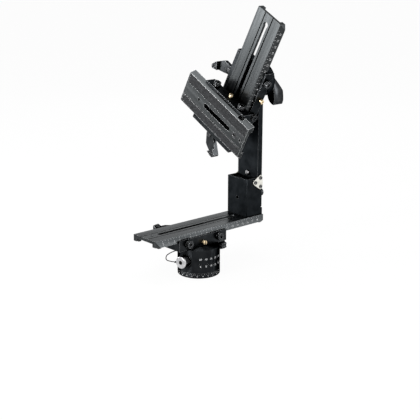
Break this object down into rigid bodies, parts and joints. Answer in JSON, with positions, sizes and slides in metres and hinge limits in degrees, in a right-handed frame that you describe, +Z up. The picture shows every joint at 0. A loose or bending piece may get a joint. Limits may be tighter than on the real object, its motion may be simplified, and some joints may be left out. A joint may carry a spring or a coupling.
{
  "type": "panoramic tripod head",
  "caption": "Multi-row panoramic tripod head: indexed pan base, sliding lower plate, folding upright arm, tilting upper plate with a cross-mounted camera plate.",
  "frame": {"origin": "centre of the pan base's underside, at the mouth of the tripod thread", "axes": "+Z up along the pan axis, +X along the lower plate towards the upright arm, +Y across the lower plate towards its cam lever"},
  "size_m": [0.2312, 0.1752, 0.3736],
  "materials": {
    "black_alloy": "satin black anodised",
    "black_steel": "blackened",
    "bright_steel": "bright turned",
    "lever_black": "semi-gloss black",
    "brass": "plain turned",
    "grip_rubber": "fine pebbled",
    "wire_black": "black coating"
  },
  "bodies": {
    "pan_base": {"base_ring": "black_alloy", "spindle_retainer": "bright_steel", "retainer_screw": "bright_steel"},
    "pan_housing": {"pan_housing": "black_alloy", "pan_bearing_bush": "brass", "plunger_barrel": "black_steel", "tether_wire": "wire_black", "tether_crimp": "bright_steel", "lower_clamp_body": "black_alloy", "lower_cam_pin": "bright_steel", "lower_clamp_bolts": "bright_steel"},
    "index_plunger": {"index_plunger": "bright_steel"},
    "pan_lock": {"pan_lock_knob": "lever_black"},
    "lower_slide": {"lower_plate": "black_alloy", "lower_plate_stops": "lever_black", "fold_bracket": "black_alloy", "fold_hinge_pin": "bright_steel", "hinge_plate_near": "bright_steel", "hinge_plate_far": "bright_steel", "hinge_screws_near": "bright_steel", "hinge_screws_far": "bright_steel"},
    "bracket_knob": {"bracket_knob": "lever_black"},
    "arm": {"arm": "black_alloy", "fold_lock_pin": "bright_steel"},
    "tilt_head": {"tilt_disc": "black_alloy", "tilt_hub": "black_alloy", "tilt_lock_stud": "black_steel", "upper_clamp_body": "black_alloy", "upper_cam_pin": "bright_steel", "upper_clamp_bolts": "bright_steel"},
    "tilt_lock": {"tilt_lock_lever": "lever_black"},
    "upper_slide": {"upper_plate": "black_alloy", "upper_plate_stops": "lever_black", "mounting_block": "black_alloy", "camera_clamp_body": "black_alloy", "camera_cam_pin": "bright_steel", "camera_clamp_bolts": "bright_steel"},
    "camera_slide": {"camera_plate": "black_alloy", "camera_plate_pads": "grip_rubber", "camera_plate_stops": "lever_black"},
    "camera_screw_large": {"camera_screw_large": "black_steel"},
    "camera_screw_small": {"camera_screw_small": "black_steel"},
    "lower_lever": {"lower_cam_lever": "lever_black"},
    "lower_jaw": {"lower_clamp_jaw": "black_alloy"},
    "lower_tension_a": {"lower_tension_screw_a": "black_steel"},
    "lower_tension_b": {"lower_tension_screw_b": "black_steel"},
    "lower_catch": {"lower_safety_catch": "brass"},
    "upper_lever": {"upper_cam_lever": "lever_black"},
    "upper_jaw": {"upper_clamp_jaw": "black_alloy"},
    "upper_tension_a": {"upper_tension_screw_a": "black_steel"},
    "upper_tension_b": {"upper_tension_screw_b": "black_steel"},
    "upper_catch": {"upper_safety_catch": "brass"},
    "camera_lever": {"camera_cam_lever": "lever_black"},
    "camera_jaw": {"camera_clamp_jaw": "black_alloy"},
    "camera_tension_a": {"camera_tension_screw_a": "black_steel"},
    "camera_tension_b": {"camera_tension_screw_b": "black_steel"},
    "camera_catch": {"camera_safety_catch": "brass"}
  },
  "joints": [
    {"name": "pan", "type": "hinge", "parent": "pan_base", "child": "pan_housing", "pos_m": [0, 0, 0.0207], "axis": [0, 0, 1], "continuous": true},
    {"name": "index_plunger_pull", "type": "slide", "parent": "pan_housing", "child": "index_plunger", "axis": [-0.9816, -0.1908, 0], "range_m": [0, 0.004], "stiffness_N_per_m": 400},
    {"name": "pan_lock_turn", "type": "hinge", "parent": "pan_housing", "child": "pan_lock", "pos_m": [0.02971, -0.00418, 0.034], "axis": [0.9903, -0.1392, 0], "range_deg": [-90, 90]},
    {"name": "lower_lever_turn", "type": "hinge", "parent": "pan_housing", "child": "lower_lever", "pos_m": [0.004, 0.0588, 0.0504], "axis": [0, 0, 1], "range_deg": [-60, 0]},
    {"name": "lower_jaw_open", "type": "slide", "parent": "pan_housing", "child": "lower_jaw", "axis": [0, 1, 0], "range_m": [0, 0.0008]},
    {"name": "lower_tension_a_turn", "type": "hinge", "parent": "pan_housing", "child": "lower_tension_a", "pos_m": [-0.0287, -0.0102, 0.0506], "axis": [0, 1, 0], "range_deg": [-180, 180]},
    {"name": "lower_tension_b_turn", "type": "hinge", "parent": "pan_housing", "child": "lower_tension_b", "pos_m": [0.0287, -0.0102, 0.0506], "axis": [0, 1, 0], "range_deg": [-180, 180]},
    {"name": "lower_catch_press", "type": "slide", "parent": "pan_housing", "child": "lower_catch", "axis": [0, 1, 0], "range_m": [0, 0.0025], "stiffness_N_per_m": 400},
    {"name": "upper_lever_turn", "type": "hinge", "parent": "tilt_head", "child": "upper_lever", "pos_m": [0.0952, 0.03739, 0.27778], "axis": [-1, 0, 0], "range_deg": [-60, 0]},
    {"name": "upper_jaw_open", "type": "slide", "parent": "tilt_head", "child": "upper_jaw", "axis": [0, 0.8796, 0.4756], "range_m": [0, 0.0008]},
    {"name": "upper_tension_a_turn", "type": "hinge", "parent": "tilt_head", "child": "upper_tension_a", "pos_m": [0.095, -0.00775, 0.2162], "axis": [0, 0.8796, 0.4756], "range_deg": [-180, 180]},
    {"name": "upper_tension_b_turn", "type": "hinge", "parent": "tilt_head", "child": "upper_tension_b", "pos_m": [0.095, -0.03505, 0.26669], "axis": [0, 0.8796, 0.4756], "range_deg": [-180, 180]},
    {"name": "upper_catch_press", "type": "slide", "parent": "tilt_head", "child": "upper_catch", "axis": [0, 0.8796, 0.4756], "range_m": [0, 0.0025], "stiffness_N_per_m": 400},
    {"name": "camera_lever_turn", "type": "hinge", "parent": "upper_slide", "child": "camera_lever", "pos_m": [0.0644, 0.04556, 0.18614], "axis": [-1, 0, 0], "range_deg": [-60, 0]},
    {"name": "camera_jaw_open", "type": "slide", "parent": "upper_slide", "child": "camera_jaw", "axis": [0, 0.4756, -0.8796], "range_m": [0, 0.0008]},
    {"name": "camera_tension_a_turn", "type": "hinge", "parent": "upper_slide", "child": "camera_tension_a", "pos_m": [0.0642, -0.01602, 0.23128], "axis": [0, 0.4756, -0.8796], "range_deg": [-180, 180]},
    {"name": "camera_tension_b_turn", "type": "hinge", "parent": "upper_slide", "child": "camera_tension_b", "pos_m": [0.0642, 0.03447, 0.25858], "axis": [0, 0.4756, -0.8796], "range_deg": [-180, 180]},
    {"name": "camera_catch_press", "type": "slide", "parent": "upper_slide", "child": "camera_catch", "axis": [0, 0.4756, -0.8796], "range_m": [0, 0.0025], "stiffness_N_per_m": 400},
    {"name": "lower_plate_slide", "type": "slide", "parent": "pan_housing", "child": "lower_slide", "axis": [1, 0, 0], "range_m": [-0.071, 0.0279]},
    {"name": "arm_fold", "type": "hinge", "parent": "lower_slide", "child": "arm", "pos_m": [0.1197, 0.0204, 0.112], "axis": [0, 1, 0], "range_deg": [0, 90]},
    {"name": "bracket_knob_pull", "type": "slide", "parent": "lower_slide", "child": "bracket_knob", "axis": [1, 0, 0], "range_m": [0, 0.003], "stiffness_N_per_m": 400},
    {"name": "tilt", "type": "hinge", "parent": "arm", "child": "tilt_head", "pos_m": [0.1153, 0, 0.2662], "axis": [1, 0, 0], "continuous": true},
    {"name": "tilt_lock_turn", "type": "hinge", "parent": "tilt_head", "child": "tilt_lock", "pos_m": [0.1347, 0, 0.2662], "axis": [1, 0, 0], "range_deg": [-25, 50]},
    {"name": "upper_plate_slide", "type": "slide", "parent": "tilt_head", "child": "upper_slide", "axis": [0, -0.4756, 0.8796], "range_m": [-0.0665, 0.0314]},
    {"name": "camera_plate_slide", "type": "slide", "parent": "upper_slide", "child": "camera_slide", "axis": [0, 0.8796, 0.4756], "range_m": [-0.0197, 0.0123]},
    {"name": "camera_screw_large_turn", "type": "hinge", "parent": "camera_slide", "child": "camera_screw_large", "pos_m": [0.0554, -0.01712, 0.1959], "axis": [-1, 0, 0], "range_deg": [-180, 180]},
    {"name": "camera_screw_small_turn", "type": "hinge", "parent": "camera_slide", "child": "camera_screw_small", "pos_m": [0.0554, -0.02873, 0.18962], "axis": [-1, 0, 0], "range_deg": [-180, 180]}
  ],
  "couplings": [
    {"joint": "lower_jaw_open", "follows": "lower_lever_turn", "m_per_rad": -0.00076},
    {"joint": "upper_jaw_open", "follows": "upper_lever_turn", "m_per_rad": -0.00076},
    {"joint": "camera_jaw_open", "follows": "camera_lever_turn", "m_per_rad": -0.00076}
  ]
}
